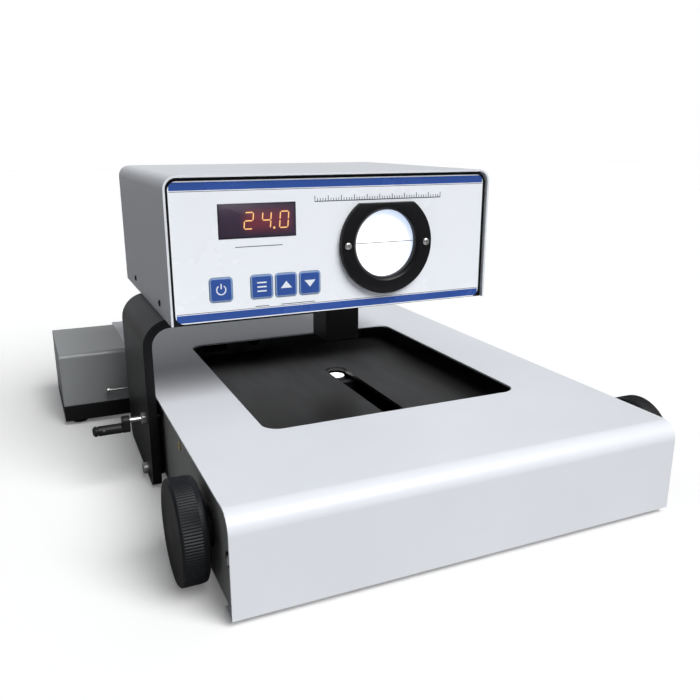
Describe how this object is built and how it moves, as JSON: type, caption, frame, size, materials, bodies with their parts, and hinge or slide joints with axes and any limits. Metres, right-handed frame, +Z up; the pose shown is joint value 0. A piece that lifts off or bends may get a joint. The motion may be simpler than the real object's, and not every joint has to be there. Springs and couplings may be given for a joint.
{
  "type": "bench-top digital zone reader",
  "caption": "Bench reader: sheet-metal base with a dish well and a knob-driven tray, and a head on an arm with a screen, a digital display and keys.",
  "frame": {"origin": "under the middle of the whole reader, on the surface it stands on", "axes": "+Z up, +Y away from the user, +X to the user's right"},
  "size_m": [0.389, 0.453, 0.2278],
  "materials": {
    "cover_paint": "semi-gloss light grey powder coat with a fine texture",
    "side_paint": "semi-gloss mid grey powder coat",
    "arm_black": "satin black stove enamel",
    "knob_black": "satin black moulded phenolic",
    "tray_black": "gloss black",
    "black_plastic": "satin black moulding",
    "box_grey": "semi-gloss grey powder coat",
    "steel": "turned bright steel",
    "zinc": "yellow-passivated zinc",
    "brass": "turned",
    "bare_sheet": "plain mill-finish sheet",
    "overlay_white": "printed polyester film",
    "key_blue": "blue printed key caps",
    "window_dark": "smoked red filter",
    "digit_grey": "potted display modules",
    "bezel_black": "satin black anodised",
    "frosted": "ground on one face",
    "clear_glass": "polished lens",
    "mirror": "front-silvered",
    "board_green": "solder resist",
    "rubber": "matt moulded rubber",
    "ceramic": "glazed",
    "core": "varnished laminations",
    "thread_grey": "fine grey line"
  },
  "bodies": {
    "base": {"base_cover": "cover_paint", "base_left_side": "side_paint", "base_right_side": "side_paint", "base_floor": "arm_black", "rear_panel": "side_paint", "rubber_feet": "rubber", "base_screws": "zinc", "guide_rods": "steel", "rod_blocks": "bare_sheet", "shaft_bushes": "black_plastic", "encoder_sensor": "black_plastic", "condenser_holder": "arm_black", "condenser_lens": "clear_glass", "lamp_socket": "ceramic", "lamp_bulb": "clear_glass", "lamp_reflector": "bare_sheet", "head_arm": "arm_black", "arm_mount_block": "arm_black", "arm_bolts": "steel", "crank_nut": "steel", "head_cover": "cover_paint", "head_chassis": "bare_sheet", "front_panel": "arm_black", "panel_overlay": "overlay_white", "display_window": "window_dark", "digit_modules": "digit_grey", "display_board": "board_green", "screen_bezel": "bezel_black", "ground_glass": "frosted", "hairline": "thread_grey", "head_screws": "steel", "lens_block": "arm_black", "head_mirror": "mirror", "mirror_bracket": "bare_sheet", "head_rear_panel": "side_paint", "power_box_cover": "box_grey", "power_box_base": "black_plastic", "transformer": "core", "power_inlet": "black_plastic", "mains_switch": "black_plastic", "fuse_cap": "black_plastic"},
    "tray": {"tray_plate": "tray_black", "bearing_blocks": "black_plastic", "rack": "steel"},
    "shaft": {"knob_shaft": "steel", "shaft_collars": "steel", "left_knob": "knob_black", "right_knob": "knob_black", "pinion": "brass", "encoder_disc": "bare_sheet"},
    "crank": {"crank_shaft": "steel", "crank_arm": "black_plastic", "crank_handle": "black_plastic"},
    "lens": {"lens_barrel": "arm_black", "objective_lens": "clear_glass"},
    "power_key": {"power_key": "key_blue"},
    "mode_key": {"mode_key": "key_blue"},
    "up_key": {"up_key": "key_blue"},
    "down_key": {"down_key": "key_blue"},
    "rocker": {"rocker": "black_plastic"}
  },
  "joints": [
    {"name": "tray_slide", "type": "slide", "parent": "base", "child": "tray", "axis": [0, 1, 0], "range_m": [0, 0.04]},
    {"name": "shaft_turn", "type": "hinge", "parent": "base", "child": "shaft", "pos_m": [0.0195, -0.1755, 0.035], "axis": [1, 0, 0], "range_deg": [-287, 0]},
    {"name": "crank_turn", "type": "hinge", "parent": "base", "child": "crank", "pos_m": [-0.1445, -0.0375, 0.0545], "axis": [1, 0, 0], "range_deg": [0, 270]},
    {"name": "lens_focus", "type": "slide", "parent": "base", "child": "lens", "axis": [0, 0, 1], "range_m": [-0.003, 0.003]},
    {"name": "rocker_tip", "type": "hinge", "parent": "base", "child": "rocker", "pos_m": [-0.0315, 0.2195, 0.038], "axis": [1, 0, 0], "range_deg": [0, 14]},
    {"name": "power_key_press", "type": "slide", "parent": "base", "child": "power_key", "axis": [0, 1, 0], "range_m": [0, 0.0006], "stiffness_N_per_m": 500, "springref_m": -0.0004},
    {"name": "mode_key_press", "type": "slide", "parent": "base", "child": "mode_key", "axis": [0, 1, 0], "range_m": [0, 0.0006], "stiffness_N_per_m": 500, "springref_m": -0.0004},
    {"name": "up_key_press", "type": "slide", "parent": "base", "child": "up_key", "axis": [0, 1, 0], "range_m": [0, 0.0006], "stiffness_N_per_m": 500, "springref_m": -0.0004},
    {"name": "down_key_press", "type": "slide", "parent": "base", "child": "down_key", "axis": [0, 1, 0], "range_m": [0, 0.0006], "stiffness_N_per_m": 500, "springref_m": -0.0004}
  ],
  "couplings": [
    {"joint": "shaft_turn", "follows": "tray_slide", "rad_per_m": -125}
  ]
}
